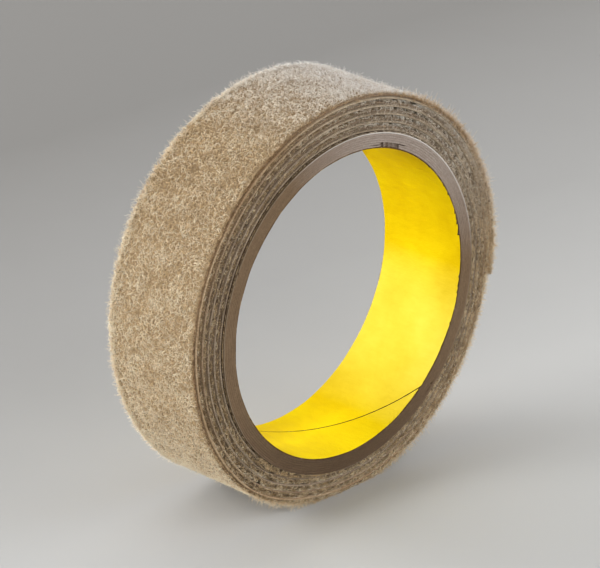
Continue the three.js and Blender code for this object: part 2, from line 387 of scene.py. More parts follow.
class Look:
    """A material that is put together out of nodes."""

    def __init__(self, name, roughness, specular=0.5):
        self.material = bpy.data.materials.new(name)
        self.material.use_nodes = True
        self.tree = self.material.node_tree
        self.shader = self.tree.nodes["Principled BSDF"]
        self.feed(self.shader, {"Roughness": roughness, "Specular IOR Level": specular})

    def feed(self, node, inputs):
        """Gives a node's sockets their values, or the outputs that they are linked to."""
        for key, value in inputs.items():
            if isinstance(value, bpy.types.NodeSocket):
                self.tree.links.new(value, node.inputs[key])
            else:
                node.inputs[key].default_value = value

    def node(self, kind, inputs, **settings):
        """The outputs of a new node."""
        node = self.tree.nodes.new(kind)
        for key, value in settings.items():
            setattr(node, key, value)
        self.feed(node, inputs)
        return node.outputs

    def attribute(self, name, output="Vector"):
        return self.node("ShaderNodeAttribute", {}, attribute_name=name)[output]

    def object_place(self):
        return self.node("ShaderNodeTexCoord", {})["Object"]

    def axis(self, place, axis):
        return self.node("ShaderNodeSeparateXYZ", {0: place})[axis]

    def stretched(self, place, scale):
        return self.node("ShaderNodeMapping", {"Vector": place, "Scale": scale})["Vector"]

    def noise(self, place, scale, detail=3, rough=0.55):
        inputs = {"Vector": place, "Scale": scale, "Detail": detail, "Roughness": rough}
        return self.node("ShaderNodeTexNoise", inputs)["Fac"]

    def wave(self, place, period, axis, distortion):
        inputs = {"Vector": place, "Scale": 2 * math.pi / BANDS_PER_UNIT / period, "Distortion": distortion}
        return self.node("ShaderNodeTexWave", inputs, wave_type="BANDS", bands_direction=axis)["Fac"]

    def combine(self, operation, first, second=0.0):
        return self.node("ShaderNodeMath", {0: first, 1: second}, operation=operation)[0]

    def product(self, first, second):
        return self.combine("MULTIPLY", first, second)

    def weighted(self, *terms):
        """The sum of (output, weight) pairs."""
        total = 0.0
        for output, weight in terms:
            total = self.combine("ADD", self.product(output, weight), total)
        return total

    def between(self, value, low, high, first=0.0, last=1.0):
        """Where a value lies from low to high, as first to last."""
        inputs = {"Value": value, "From Min": low, "From Max": high, "To Min": first, "To Max": last}
        return self.node("ShaderNodeMapRange", inputs)["Result"]

    def spread(self, value, low, high):
        """The middle of a value's range, where most noise lies, made to run from low to high."""
        return self.between(value, NOISE_LOW, NOISE_HIGH, low, high)

    def facing(self, turned, angle, low, high):
        """As near_angle, for a place turned round the roll."""
        off = self.combine("SUBTRACT", turned, math.radians(angle))
        return self.between(self.combine("COSINE", off), low, high)

    def ramp(self, factor, stops, tones):
        node = self.tree.nodes.new("ShaderNodeValToRGB")
        elements = node.color_ramp.elements
        while len(elements) < len(stops):
            elements.new(0.5)
        for element, position, tone in zip(elements, stops, tones):
            element.position = position
            element.color = srgb(*tone)
        self.feed(node, {"Fac": factor})
        return node.outputs["Color"]

    def ramps(self, factor, stops, *sets):
        return [self.ramp(factor, stops, tones) for tones in sets]

    def mixed(self, factor, first, second):
        inputs = {"Factor": factor, "A": first, "B": second}
        return self.node("ShaderNodeMix", inputs, data_type="RGBA")["Result"]

    def paint(self, colour, roughness):
        self.feed(self.shader, {"Base Color": colour, "Roughness": roughness})

    def bump(self, height, strength, distance):
        inputs = {"Height": height, "Strength": strength, "Distance": distance}
        self.feed(self.shader, {"Normal": self.node("ShaderNodeBump", inputs)["Normal"]})


# Materials of the core

def ply_turned(look, place):
    return look.combine("DIVIDE", look.axis(place, "X"), look.axis(place, "Z"))


def yellow_paper():
    """Paper with painted light: brighter at the bore's foot near the front, and a painted sheen on its lower
    right. It is brown where its cut edge shows.
    """
    look = Look("yellow_paper", roughness=0.4, specular=0.01)
    place = look.object_place()
    blotch = look.noise(place, scale=60, detail=4)
    fibre = look.noise(look.stretched(place, (1, 0.25, 1)), scale=900)
    crease = look.noise(look.stretched(place, (1, 0.6, 1)), scale=260, detail=5, rough=0.65)
    tone = look.weighted((blotch, 0.85), (fibre, 0.15))
    deep, bright, lit = look.ramps(tone, PAPER_STOPS, DEEP_PAPER, LIT_PAPER, SHEEN_PAPER)
    cut = look.ramp(fibre, CUT_STOPS, CUT_PAPER)
    ply_place = look.attribute("ply_place")
    turned = ply_turned(look, ply_place)
    # Painted light at the bore's foot near the front, then a painted sheen on its lower right
    lit_low_side = look.facing(turned, LIT_PAPER_ANGLE, low=0.87, high=0.995)
    near_front = look.between(look.axis(ply_place, "Y"), *LIT_PAPER_DEPTHS)
    face = look.mixed(look.product(lit_low_side, near_front), deep, bright)
    face = look.mixed(look.facing(turned, SHEEN_PAPER_ANGLE, low=0.83, high=0.985), face, lit)
    within = look.between(look.axis(ply_place, "Z"), BORE_RADIUS + SKIN_FROM, BORE_RADIUS + SKIN_TO)
    look.paint(look.mixed(within, face, cut), look.spread(blotch, low=0.5, high=0.65))
    look.bump(look.weighted((crease, 1), (fibre, 0.1)), strength=0.5, distance=0.001)
    return look.material


def paperboard(name, tones, pale_tones, skin_radius):
    """Board that is paler on the roll's upper right with painted light, apart from the skin at its outer
    radius, which leaves a painted highlight along the wrap's front edge; and darker with painted shade at
    the roll's foot and where its front is set back."""
    look = Look(name, roughness=0.88, specular=0.25)
    place = look.attribute("ply_place")
    streak = look.noise(look.stretched(place, (0.2, 2.2, 1)), scale=2.4, detail=4)
    fleck = look.noise(place, scale=5, rough=0.7)
    tone = look.weighted((streak, 0.25), (fleck, 0.75))
    plain, lit, shaded = look.ramps(tone, BOARD_STOPS, tones, pale_tones, SHADED_BOARD)
    turned = ply_turned(look, place)
    # Painted shade: darker towards the roll's foot
    face = look.mixed(look.facing(turned, SHADED_BOARD_ANGLE, low=0.4, high=1), plain, shaded)
    within = look.between(look.axis(place, "Z"), skin_radius - SKIN_FROM, skin_radius - SKIN_TO)
    # Painted light on the upper right, and on the wrap a painted highlight along its front edge
    face = look.mixed(look.product(look.facing(turned, LIT_ANGLE, *LIT_COSINES), within), face, lit)
    # Painted shade on board set back from the front: in scuffs and chips, and on the plies' sides near it
    depth = look.combine("SUBTRACT", look.axis(place, "Y"), CORE_FRONT)
    worn = look.product(look.between(depth, *SHADED_RECESS_DEPTHS), look.between(depth, *WHOLE_DEPTHS))
    look.paint(look.mixed(worn, face, shaded), look.spread(fleck, low=0.75, high=0.95))
    look.bump(tone, strength=0.35, distance=0.00012)
    return look.material


def tacky_adhesive():
    look = Look("start_adhesive", roughness=0.35)
    blotch = look.noise(look.object_place(), scale=500)
    look.feed(look.shader, {"Base Color": look.ramp(blotch, ADHESIVE_STOPS, ADHESIVE)})
    look.bump(blotch, strength=0.3, distance=0.00005)
    return look.material


# Materials of the tape

def tape_turned(look, place):
    return look.combine("DIVIDE", look.axis(place, "X"), MEAN_RADIUS)


def painted_light(look, place):
    """How much painted light a place on the tape takes, most of all at the roll's upper right."""
    return look.facing(tape_turned(look, place), START_ANGLE - LIT_ANGLE, *LIT_COSINES)


def dust_and_light(look, place, grey, warm, lit):
    """Grey on the first turns, which are dusty, to warm on the last, and paler with painted light towards
    the roll's upper right.
    """
    outwards = look.between(look.axis(place, "X"), DUSTY_LENGTH, TAPE_LENGTH)
    return look.mixed(painted_light(look, place), look.mixed(outwards, grey, warm), lit)


def glow_side(look, place):
    """1 on the roll's upper left, where its last turn takes a warm painted glow, as of light shining through
    its pile, to 0 on its lower right.
    """
    return look.facing(tape_turned(look, place), START_ANGLE - GLOW_ANGLE, low=-0.25, high=0.3)


def on_walls(look, place):
    """1 on the roll's front and back, to 0 on the tape's faces."""
    aside = look.combine("ABSOLUTE", look.axis(place, "Y"))
    return look.between(aside, PILE_BACK - WALL_FROM, PILE_BACK - WALL_TO)


def on_front(look, place):
    return look.between(look.axis(place, "Y"), PILE_FRONT + WALL_FROM, PILE_FRONT + WALL_TO)


def last_turn(look, place):
    return look.between(look.axis(place, "X"), LAST_TURN - LAST_TURN_FADE, LAST_TURN + LAST_TURN_FADE)


def woven_base():
    look = Look("woven_base", roughness=0.7)
    place = look.attribute("tape_place")
    warp = look.wave(place, WARP_PITCH, "Y", distortion=0.4)
    weft = look.wave(place, RIB_PITCH, "X", distortion=0.4)
    weave = look.product(warp, weft)
    wear = look.noise(place, scale=1.3, detail=4, rough=0.7)
    grime = look.noise(look.stretched(place, (0.08, 0.3, 0.3)), scale=1)
    tone = look.weighted((weave, 0.12), (wear, 0.48), (grime, 0.4))
    # Paler towards the roll's upper right with painted light
    face = dust_and_light(look, place, *look.ramps(tone, BASE_STOPS, GREY_BASE, WARM_BASE, LIT_BASE))
    look.paint(face, look.spread(wear, low=0.6, high=0.8))
    look.bump(weave, strength=0.5, distance=0.00006)
    return look.material


def pile_mat():
    look = Look("pile_mat", roughness=0.9)
    place = look.attribute("tape_place")
    fleck = look.noise(place, scale=2.2, detail=4, rough=0.7)
    layer = look.noise(look.stretched(place, (0.08, 1, 1.6)), scale=2.2, detail=4, rough=0.6)
    # The walls take darker tones than the tread: painted shade between the turns
    wall = dust_and_light(look, place, *look.ramps(layer, MAT_STOPS, SHADED_GREY_MAT, SHADED_WARM_MAT, LIT_MAT))
    tread = look.ramp(fleck, MAT_STOPS, TREAD_MAT)
    look.paint(look.mixed(on_walls(look, place), tread, wall), look.spread(fleck, low=0.8, high=0.95))
    look.bump(fleck, strength=0.6, distance=0.0002)
    return look.material


def loop_fibre():
    """Loops are darker at their feet, where less light gets in, and paler and whiter at their tips."""
    look = Look("loop_fibre", roughness=0.45)
    look.feed(look.shader, {"Sheen Weight": 0.3, "Sheen Roughness": 0.35})
    place = look.attribute("tape_place")
    speckle = look.noise(place, scale=3, detail=2)
    tip = look.between(look.axis(place, "Z"), *TIP_HEIGHTS)
    shade = look.weighted((look.attribute("tone", "Fac"), 0.7), (tip, 0.3), (speckle, 0.2))
    tan, lit, warm = look.ramps(shade, LOOP_STOPS, TAN_LOOPS, LIT_LOOPS, GLOW_LOOPS)
    front = on_front(look, place)
    # Painted light towards the roll's upper right, a little less on the front walls
    lit_amount = look.product(painted_light(look, place), look.spread(front, low=1, high=0.7))
    # A painted glow on the last turn's front wall at the upper left
    edge = look.product(look.product(front, last_turn(look, place)), glow_side(look, place))
    face = look.mixed(edge, look.mixed(lit_amount, tan, lit), warm)
    look.paint(face, look.spread(speckle, low=0.38, high=0.55))
    return look.material


# The core

CORE_MAP_ROWS = 4


def chipped(angle, chip_angle, radius):
    """How far a ply's front edge is chipped at each angle: 1 in the middle of its chip to 0 outside it."""
    if chip_angle is None:
        return 0 * angle
    off = np.radians(angle_from(angle, chip_angle)) * radius
    return smoothstep(CHIP_FADE - np.abs(off) / CHIP_HALF)


def ply_sections(inner, outer, seam_angle, seam_gap, bevel, front, back, chip_angle=None,
                 stations=RING_STATIONS):
    """Rings of a ply from one side of its slanting seam round to the other. front and back give the
    ends' places for each station's angle, and a chip takes a slit out of the front's outer corner."""
    share = np.linspace(0, 1, stations)[:, None]
    middle = (inner + outer) / 2
    wall = np.linspace(0, 1, WALL_STEPS)
    radius = np.concatenate([[inner + bevel, outer - bevel], np.full(WALL_STEPS, outer),
                             [outer - bevel, inner + bevel], np.full(WALL_STEPS, inner)])
    depth = np.concatenate([[0, 0], wall, [1, 1], wall[::-1]])
    inset = np.where(np.isin(radius, (inner, outer)), bevel, 0)
    rough_angle = seam_angle + 360 * share
    chip = chipped(rough_angle, chip_angle, middle)
    corner = np.arange(len(radius))
    radius = radius - CHIP_WIDTH * chip * (corner == 1)
    inset = inset + CHIP_DEPTH * chip * (corner == 2)
    low = front(rough_angle) + inset
    high = back(rough_angle) - inset
    y = low + (high - low) * depth
    seam = seam_angle - 360 * (y - CORE_FRONT) / SEAM_LEAD
    half_gap = arc_degrees(seam_gap / 2, middle)
    angle = seam + half_gap + share * (360 - 2 * half_gap)
    place = np.stack(np.broadcast_arrays(np.radians(angle) * middle, y, radius), -1)
    return on_roll(radius, angle, y), place


def level(y):
    return lambda angle: np.full_like(angle, y)


def scuffed(y, tear):
    """The front end of a ply that is worn away unevenly over a short way."""
    def front(angle):
        off = np.abs(angle_from(angle, SCUFF_ANGLE))
        worn = smoothstep(SCUFF_HALF_ANGLE - off) * (SCUFF_MEAN + SCUFF_TEAR * tear(angle, 0 * angle))
        return y + SCUFF_DEPTH * np.maximum(worn, 0)

    return front


def make_ply(name, shape, material, node):
    sections, place = shape
    ply = loft(name, sections, material, CORE_MAP_ROWS, ply_place=place)
    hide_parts(node)
    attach(ply, "roll")


def make_core(materials):
    rag = waves(10, shortest=8, longest=60)
    tear = waves(12, shortest=1.6, longest=5)

    def liner_front(angle):
        worn = near_angle(angle, NICKED_ANGLE, low=0.55, high=0.85)
        torn = np.maximum(tear(angle, 0 * angle) - NICK_START, 0) * NICK_DEPTH * worn
        return CORE_FRONT + LINER_FRONT_INSET + LINER_FRONT_RAG * rag(angle, 0 * angle) + torn

    def liner_back(angle):
        return CORE_BACK - LINER_BACK_INSET + LINER_BACK_RAG * rag(angle, 0 * angle + RAG_APART)

    shape = ply_sections(BORE_RADIUS, LINER_OUTER, LINER_SEAM_ANGLE, LINER_SEAM_GAP, PAPER_BEVEL,
                         liner_front, liner_back, stations=LINER_STATIONS)
    make_ply("core_liner", shape, materials["paper"], "core_liner_paper")
    boards = zip(BOARD_SEAM_ANGLES, BOARD_SEAM_GAPS, BOARD_CHIP_ANGLES)
    for index, (seam_angle, seam_gap, chip_angle) in enumerate(boards):
        node = f"core_board_ply_{index + 1}"
        outer = box_mm(node)[1][0]
        front = CORE_FRONT + BOARD_FRONT_UNEVEN * rng.uniform(0, 1)
        back = CORE_BACK - BOARD_BACK_UNEVEN * rng.uniform(0, 1)
        front_end = scuffed(front, tear) if index < SCUFFED_PLIES else level(front)
        shape = ply_sections(outer - BOARD_THICKNESS, outer, seam_angle, seam_gap, BOARD_BEVEL,
                             front_end, level(back), chip_angle)
        make_ply(f"core_board_{index + 1}", shape, materials["board"], node)
    shape = ply_sections(WRAP_OUTER - WRAP_THICKNESS, WRAP_OUTER, WRAP_SEAM_ANGLE, WRAP_SEAM_GAP,
                         PAPER_BEVEL, level(CORE_FRONT), level(CORE_BACK))
    make_ply("core_wrap", shape, materials["wrap"], "core_outer_ply")


# The layers of the tape, each a strip with its own outline

MAP_ROW_ANGLE = 110
SWAY = waves(12, shortest=25, longest=160)
SWAY_DEPTH = 0.11


def sweep_stations(start, end, step):
    count = max(2, int(round((end - start) / arc_degrees(step, MEAN_RADIUS))) + 1)
    return np.linspace(start, end, count)[:, None]


def sway(along):
    """How far a turn wanders across the roll, at a place along the tape."""
    return SWAY_DEPTH * SWAY(along, 0 * along)


def strip(name, sweep, foot, y, rise, material, sharp):
    """A layer through outlines that rise above a foot's radius at each sweep."""
    points = above_floor(on_roll(foot + rise, angle_at(sweep), y))
    place = np.stack(np.broadcast_arrays(along_tape(sweep), y, rise), -1)
    rows = max(1, int((sweep[-1, 0] - sweep[0, 0]) / MAP_ROW_ANGLE))
    return loft(name, points, material, rows, sharp, tape_place=place)


# The tape's base: a woven strip with a rounded, ribbed edge

BASE_STEP = RIB_PITCH / 3
RIB_DEPTH = 0.02
EDGE_ROUND = 0.14


def make_base(name, start, end, material):
    """The base's outline is listed from its front edge over the top to the back and under it."""
    sweep = sweep_stations(start, end, BASE_STEP)
    along = along_tape(sweep)
    near = TAPE_FRONT + EDGE_ROUND
    far = TAPE_BACK - EDGE_ROUND
    y = np.array([TAPE_FRONT, TAPE_FRONT, near, PILE_FRONT, PILE_BACK, far, TAPE_BACK, TAPE_BACK, far, near])
    rise = np.array([0.25, 0.75, 1, 1, 1, 1, 0.75, 0.25, 0, 0]) * BASE_THICKNESS
    ribbed = np.array([1, 1, 0.6, 0, 0, -0.6, -1, -1, -0.6, 0.6])
    rib = RIB_DEPTH * (0.5 + 0.5 * np.sin(2 * np.pi * along / RIB_PITCH))
    y = y + ribbed * rib + sway(along)
    piece = strip(name, sweep, base_inner(sweep), y, rise, material, sharp=80)
    return piece


# The pile's body: the roots of the loops, too dense to see through

MAT_STEP = 0.5
MAT_SHARE = 0.62
MAT_LUMPS = waves(12, shortest=0.9, longest=5)
LUMP_DEPTH = 0.05


def make_mat(name, start, end, material):
    """The mat's rounded outline is listed from the front edge of its foot over the top to the back."""
    sweep = sweep_stations(start, end, MAT_STEP)
    along = along_tape(sweep)
    half_rise = np.array([0, 0.3, 0.5, MAT_SHARE, MAT_SHARE, MAT_SHARE])
    half_inset = np.array([0.25, 0.2, 0.3, 0.6, 1.4, 8])
    half_outward = np.array([1, 1, 1, 0.5, 0, 0])
    rise = np.concatenate([half_rise, half_rise[::-1]]) * pile_height(sweep)
    y = np.concatenate([PILE_FRONT + half_inset, PILE_BACK - half_inset[::-1]])
    outward = np.concatenate([-half_outward, half_outward[::-1]])
    lump = LUMP_DEPTH * MAT_LUMPS(along, y)
    y = y + outward * lump + sway(along)
    rise = rise + lump * (rise > 0)
    piece = strip(name, sweep, pile_inner(sweep), y, rise, material, sharp=70)
    return piece


# Fibres: three-sided tubes along curves in the tape's own coordinates

FIBRE_POINTS = 6
SIDES = 3
TAPER_AT = (0, 0.2, 0.8, 1)
TAPER = (0.8, 1, 1, 0.8)
CELL_MARGIN = 0.1
CELL_FILL = 0.8
CELL_CAP = 0.08


def bezier(first, second, third, fourth):
    t = np.linspace(0, 1, FIBRE_POINTS)[None, :, None]
    rest = 1 - t
    return (rest ** 3 * first[:, None] + 3 * rest ** 2 * t * second[:, None]
            + 3 * rest * t ** 2 * third[:, None] + t ** 3 * fourth[:, None])


def tape_points(sweep, along, y, height):
    """Points on the tape, each a length along it from a sweep and a height above the pile's foot."""
    return np.stack([sweep + arc_degrees(along, pile_inner(sweep)), y, height], -1)


def to_roll(path):
    """Points on the tape, as sweep, y and height, in the roll's frame."""
    sweep, y, height = path[..., 0], path[..., 1], path[..., 2]
    y = y + sway(along_tape(sweep))
    return above_floor(on_roll(pile_inner(sweep) + height, angle_at(sweep), y))


def unit(vectors):
    return vectors / np.maximum(np.linalg.norm(vectors, axis=-1, keepdims=True), 1e-9)


def tubes(path, thickness):
    """Rings of points round paths, as fibres by points by sides by xyz."""
    points = path.shape[1]
    spine = to_roll(path)
    tangent = unit(np.gradient(spine, axis=1))
    chord = spine[:, -1] - spine[:, 0]
    middle = spine[:, points // 2] - (spine[:, 0] + spine[:, -1]) / 2
    across = unit(np.cross(chord, middle))[:, None]
    first = unit(across - np.sum(across * tangent, -1, keepdims=True) * tangent)
    second = np.cross(tangent, first)
    turn = 2 * np.pi * np.arange(SIDES) / SIDES
    taper = np.interp(np.linspace(0, 1, points), TAPER_AT, TAPER)
    radius = thickness[:, None, None] / 2 * taper[None, :, None]
    ring = (first[:, :, None] * np.cos(turn)[:, None] + second[:, :, None] * np.sin(turn)[:, None])
    return above_floor(spine[:, :, None] + ring * radius[..., None])


def fibres(name, path, thickness, tone, material):
    """Tubes along paths, an array of fibres by points by tape coordinates."""
    count, points = path.shape[:2]
    steps = points - 1
    fibre, step, side = np.meshgrid(np.arange(count), np.arange(steps), np.arange(SIDES), indexing="ij")
    start = (fibre * points + step) * SIDES
    here = start + side
    beside = start + (side + 1) % SIDES
    quads = np.stack([here, beside, beside + SIDES, here + SIDES], -1).reshape(-1, 4)
    foot = (np.arange(count) * points * SIDES)[:, None]
    caps = np.concatenate([foot + np.arange(SIDES)[::-1], foot + steps * SIDES + np.arange(SIDES)])
    corners = np.concatenate([quads.ravel(), caps.ravel()])
    sizes = np.concatenate([np.full(len(quads), 4), np.full(len(caps), SIDES)])

    cells = math.ceil(math.sqrt(count))
    left = (fibre % cells + CELL_MARGIN + CELL_FILL * step / steps) / cells
    right = left + CELL_FILL / steps / cells
    low = (fibre // cells + CELL_MARGIN + CELL_FILL * side / SIDES) / cells
    high = low + CELL_FILL / SIDES / cells
    cell = np.stack([np.arange(count) % cells, np.arange(count) // cells], -1)[:, None] / cells
    cap_uv = (cell + np.array([[0, 0], [CELL_CAP, 0], [0, CELL_CAP]]) / cells).reshape(-1, 2)
    uv = np.concatenate([quad_map(left, right, low, high).reshape(-1, 2), cap_uv, cap_uv])

    place = np.stack([along_tape(path[..., 0]), path[..., 1], path[..., 2]], -1)
    place = np.repeat(place[:, :, None], SIDES, 2).reshape(-1, 3)
    tones = np.repeat(tone, points * SIDES)
    tube = tubes(path, thickness).reshape(-1, 3)
    piece = mesh_object(name, tube, corners, sizes, material, uv, tape_place=place, tone=tones)
    return piece


# The pile's loops and hairs: how many stand on a square millimetre, and ranges of their sizes and tones

EDGES = (("front", -1), ("back", 1))
FIELD_ANGLE = 20
FIELD_START = FIXED_SWEEP - 360
INNER_ANGLE = 311
TONE_MOTTLE = waves(14, shortest=2.5, longest=12)
MOTTLE_DEPTH = 0.1
TONE_SPREAD = 0.2
PITS = waves(16, shortest=1.2, longest=4)
PIT_LEVEL = 1.1
PIT_FILL = 2.3
PIT_FLATNESS = 2
FILLED_FUZZ = 0.4

# Painted light and shade on the tread round the roll
TREAD_LIGHT_TONE = 0.07
SHADED_TREAD_DARKER = 0.28
SHADED_TREAD_ANGLES = 25
LIT_UNDERSIDE_PALER = 0.2
LIT_UNDERSIDE_FROM = 75
LIT_UNDERSIDE_OVER = 40

LOOP_DENSITY = 8.2
LOOP_NECK = 0.4
LOOP_CREST_WEIGHT = 0.75
LOOP_FOOT = 0.4
LOOP_LEAN = 0.28
LOOP_WANDER = 0.25
LOOP_SPANS = (0.4, 1.1)
LOOP_RISES = (0.68, 1.02)
LOOP_THICKNESS = (0.06, 0.095)
LOOP_TONE = 0.5
TOP_SHARE = 0.3
TOP_SPANS = (0.8, 1.8)
TOP_RISES = (0.95, 1.2)
TOP_THICKNESS = (0.055, 0.095)
TOP_GLINT_TONE = 0.9
SHOULDER = 1.6
SHOULDER_DROP = 0.4
SHOULDER_RAISED = 0.8
SHOULDER_VARIETY = 0.3
INLAND_VARIETY = 0.8
FRONT_MARGIN = 0.05
RIM_SHARE = 0.08
RIM_SPREAD = 0.8
RIM_LIGHT_TONE = 0.06
FAR_RIM = 3.5
BACK_OVERHANG = 0.9

HAIR_SHAPE = ((0, 0), (0.2, 0.4), (0.6, 0.75), (1.2, 1))
HAIR_FOOT = 0.6
HAIR_LEAN = 0.35
HAIR_WANDER = 0.12
HAIR_THICKNESS = (0.045, 0.07)
STRAY_DENSITY = 1.4
STRAY_LEAST = 0.2
STRAY_LENGTH = (2.5, 0.17)
STRAY_TONES = (0.45, 1.0)
FRINGE_WIDTH = 1.5
FRONT_FRINGE = 44
FRONT_FRINGE_PAST = 0.1
FRONT_FRINGE_LENGTH = (2.0, 0.3)
FRONT_FRINGE_LEAN = (-0.4, 0.2)
FRONT_FRINGE_TONES = (0.35, 0.75)
BACK_FRINGE = 8
BACK_FRINGE_PAST = 0.4
BACK_FRINGE_LENGTH = (2.5, 0.1)
BACK_FRINGE_LEAN = (0, 0.7)
BACK_FRINGE_TONES = (0.45, 0.95)

FRONT_DENSITY = 20
BACK_DENSITY = 11
WALL_SPANS = (0.3, 1.4)
WALL_BULGES = (0.0, 0.16)
WALL_FUZZ_BULGE = (1.5, 0.14)
WALL_LIFT = 0.12
WALL_WANDER = 0.18
WALL_INSIDE = 0.3
WALL_THICKNESS = (0.06, 0.1)
WALL_DARKER = 0.04
WALL_VARIETY = 1.3
SMOOTH_THINNESS = 0.65
BRIGHT_SHARE = 0.2
BRIGHT_LEAST = 0.3
BRIGHT_THICKNESS = (0.1, 0.14)
BRIGHTER = 0.5
OVER_BASE_ROOT = 0.1
OVER_BASE = TAPE_BACK - PILE_BACK + 0.12
BELOW_ROOT = 0.05
SMOOTH_ANGLES = (50, 85)
SMOOTH_FUZZ = (0.22, 0.62)
HANG = 0.5
HANG_LEAST = 0.9
TURN_GAP = 0.05
OUTER_TONE = 0.52
SHADED_INNER_TONE = 0.25
INNER_FUZZ_TONE = 0.24
FUZZ_TONE = 0.1

CAUGHT_DENSITY = 25
WEDGE_DENSITY = 55
CAUGHT_SWEEP = 1
CAUGHT_GAP = 0.06
CAUGHT_FUZZ = 0.5
CAUGHT_TONE = 0.3

FRAYED_COUNT = 500
FRAYED_MARGIN = 0.1
FRAYED_REACH = (0.2, 1.1)
FRAYED_BEND = 0.3
FRAYED_ROOT = 0.3
FRAYED_SHARES = (0, 0.35, 0.7, 1)
FRAYED_THICKNESS = (0.06, 0.1)
FRAYED_TONES = (0.35, 0.85)


def scatter(start, end, across, density):
    """How many fibres an area across wide takes, and the sweep where each stands."""
    middle = (start + end) / 2
    area = np.radians(end - start) * pile_inner(middle) * across
    count = int(area * density)
    return count, rng.uniform(start, end, count)


def fuzziness(sweep):
    """How far handling has raised the pile: 0 where it lies smooth to 1 on the fuzzy side of the roll."""
    return near_angle(angle_at(sweep), FUZZIEST_ANGLE, low=-0.35, high=0.55)


def loop_tones(sweep, y, middle, variety):
    mottle = MOTTLE_DEPTH * TONE_MOTTLE(along_tape(sweep), y)
    return np.clip(middle + mottle + rng.normal(0, TONE_SPREAD, len(sweep)) * variety, 0, 1)


def tread_light(sweep):
    """How much paler or darker the tread is painted round the roll: painted shade about the shaded tread
    angle and painted light on its underside, with a small lift in tone all round.
    """
    off = angle_from(angle_at(sweep), SHADED_TREAD_ANGLE)
    # flat is the share of painted shade here, and raised the share of painted light
    flat = np.exp(-(off / SHADED_TREAD_ANGLES) ** 2)
    raised = smoothstep((off - LIT_UNDERSIDE_FROM) / LIT_UNDERSIDE_OVER)
    return TREAD_LIGHT_TONE - SHADED_TREAD_DARKER * flat + LIT_UNDERSIDE_PALER * raised


def pick(choice, first, second):
    """A random value for each fibre, from the first range where choice holds or else the second."""
    return np.where(choice, rng.uniform(*first, len(choice)), rng.uniform(*second, len(choice)))


def loop_path(control, foot, crest):
    """A path from foot to foot over a crest. control takes a share of the span, a height and a wander."""
    return bezier(control(-0.5, foot, 0), control(-LOOP_NECK, crest, 1), control(LOOP_NECK, crest, 1),
                  control(0.5, foot, 0))


def tread_loops(start, end):
    """Loops over the tape's outer face, lower and more even on the shoulder near the front edge."""
    count, sweep = scatter(start, end, PILE_BACK - PILE_FRONT, LOOP_DENSITY)
    at_rim = PILE_BACK - np.abs(rng.normal(0, RIM_SPREAD, count))
    in_rim = rng.random(count) < RIM_SHARE
    y = np.where(in_rim, at_rim, rng.uniform(PILE_FRONT + 2 * FRONT_MARGIN, PILE_BACK, count))
    inland = smoothstep((y - PILE_FRONT) / SHOULDER)
    drop = SHOULDER_DROP * (1 - inland) * (1 - SHOULDER_RAISED * fuzziness(sweep))
    height = pile_height(sweep) * (1 - drop)
    on_top = (rng.random(count) < TOP_SHARE) & (inland > 0.5)
    heading = rng.uniform(0, 2 * np.pi, count)
    span = pick(on_top, TOP_SPANS, LOOP_SPANS)
    lean = rng.normal(0, LOOP_LEAN, (count, 2))
    apex = height * pick(on_top, TOP_RISES, LOOP_RISES)
    foot = LOOP_FOOT * height
    crest = (apex - (1 - LOOP_CREST_WEIGHT) * foot) / LOOP_CREST_WEIGHT
    reach = np.stack([np.cos(heading), np.sin(heading)], -1) * span[:, None]

    def control(share, lift, wander):
        flat = reach * share + lean * wander + rng.normal(0, LOOP_WANDER, (count, 2)) * wander
        across = np.clip(y + flat[:, 1], TAPE_FRONT + FRONT_MARGIN, PILE_BACK + BACK_OVERHANG)
        return tape_points(sweep, flat[:, 0], across, lift)

    path = loop_path(control, foot, crest)
    # A paler rim along the back edge: painted rim light
    rim_light = smoothstep((y - PILE_BACK + FAR_RIM) / FAR_RIM)
    # Top loops take a much paler tone: painted glints
    middle = np.where(on_top, TOP_GLINT_TONE, LOOP_TONE) + RIM_LIGHT_TONE * rim_light + tread_light(sweep)
    thickness = pick(on_top, TOP_THICKNESS, LOOP_THICKNESS)
    return path, thickness, loop_tones(sweep, y, middle, SHOULDER_VARIETY + INLAND_VARIETY * inland)


def hairs(sweep, low, high, lengths, leans, tones):
    """Fine hairs rooted from low to high across the tape, which stand out of the pile and lean aside."""
    count = len(sweep)
    y = rng.uniform(low, high, count)
    length = rng.gamma(*lengths, count)
    aside = rng.uniform(*leans, count) if leans else 0
    foot = HAIR_FOOT * pile_height(sweep)
    rise = pile_height(sweep) + length - foot
    lean = rng.normal(0, HAIR_LEAN, (count, 2))
    lean[:, 1] += aside

    def control(share, lift):
        flat = lean * share + rng.normal(0, HAIR_WANDER, (count, 2)) * share
        return tape_points(sweep, flat[:, 0], y + flat[:, 1], foot + lift * rise)

    path = bezier(*[control(share, lift) for share, lift in HAIR_SHAPE])
    thickness = rng.uniform(*HAIR_THICKNESS, count)
    return path, thickness, rng.uniform(*tones, count)


def stray_hairs(start, end):
    """Hairs that stand out of the tread, most of them where it is haziest."""
    count, sweep = scatter(start, end, PILE_BACK - PILE_FRONT, STRAY_DENSITY)
    haze = near_angle(angle_at(sweep), HAZIEST_ANGLE, low=0.75, high=0.95)
    sweep = sweep[rng.random(count) < STRAY_LEAST + (1 - STRAY_LEAST) * haze]
    return hairs(sweep, PILE_FRONT, PILE_BACK, STRAY_LENGTH, None, STRAY_TONES)


def front_fringe(start, end):
    """Hairs that handling has pulled out along the front edge."""
    count, sweep = scatter(start, end, FRINGE_WIDTH, FRONT_FRINGE)
    sweep = sweep[rng.random(count) < fuzziness(sweep)]
    return hairs(sweep, PILE_FRONT - FRONT_FRINGE_PAST, PILE_FRONT + FRINGE_WIDTH, FRONT_FRINGE_LENGTH,
                 FRONT_FRINGE_LEAN, FRONT_FRINGE_TONES)


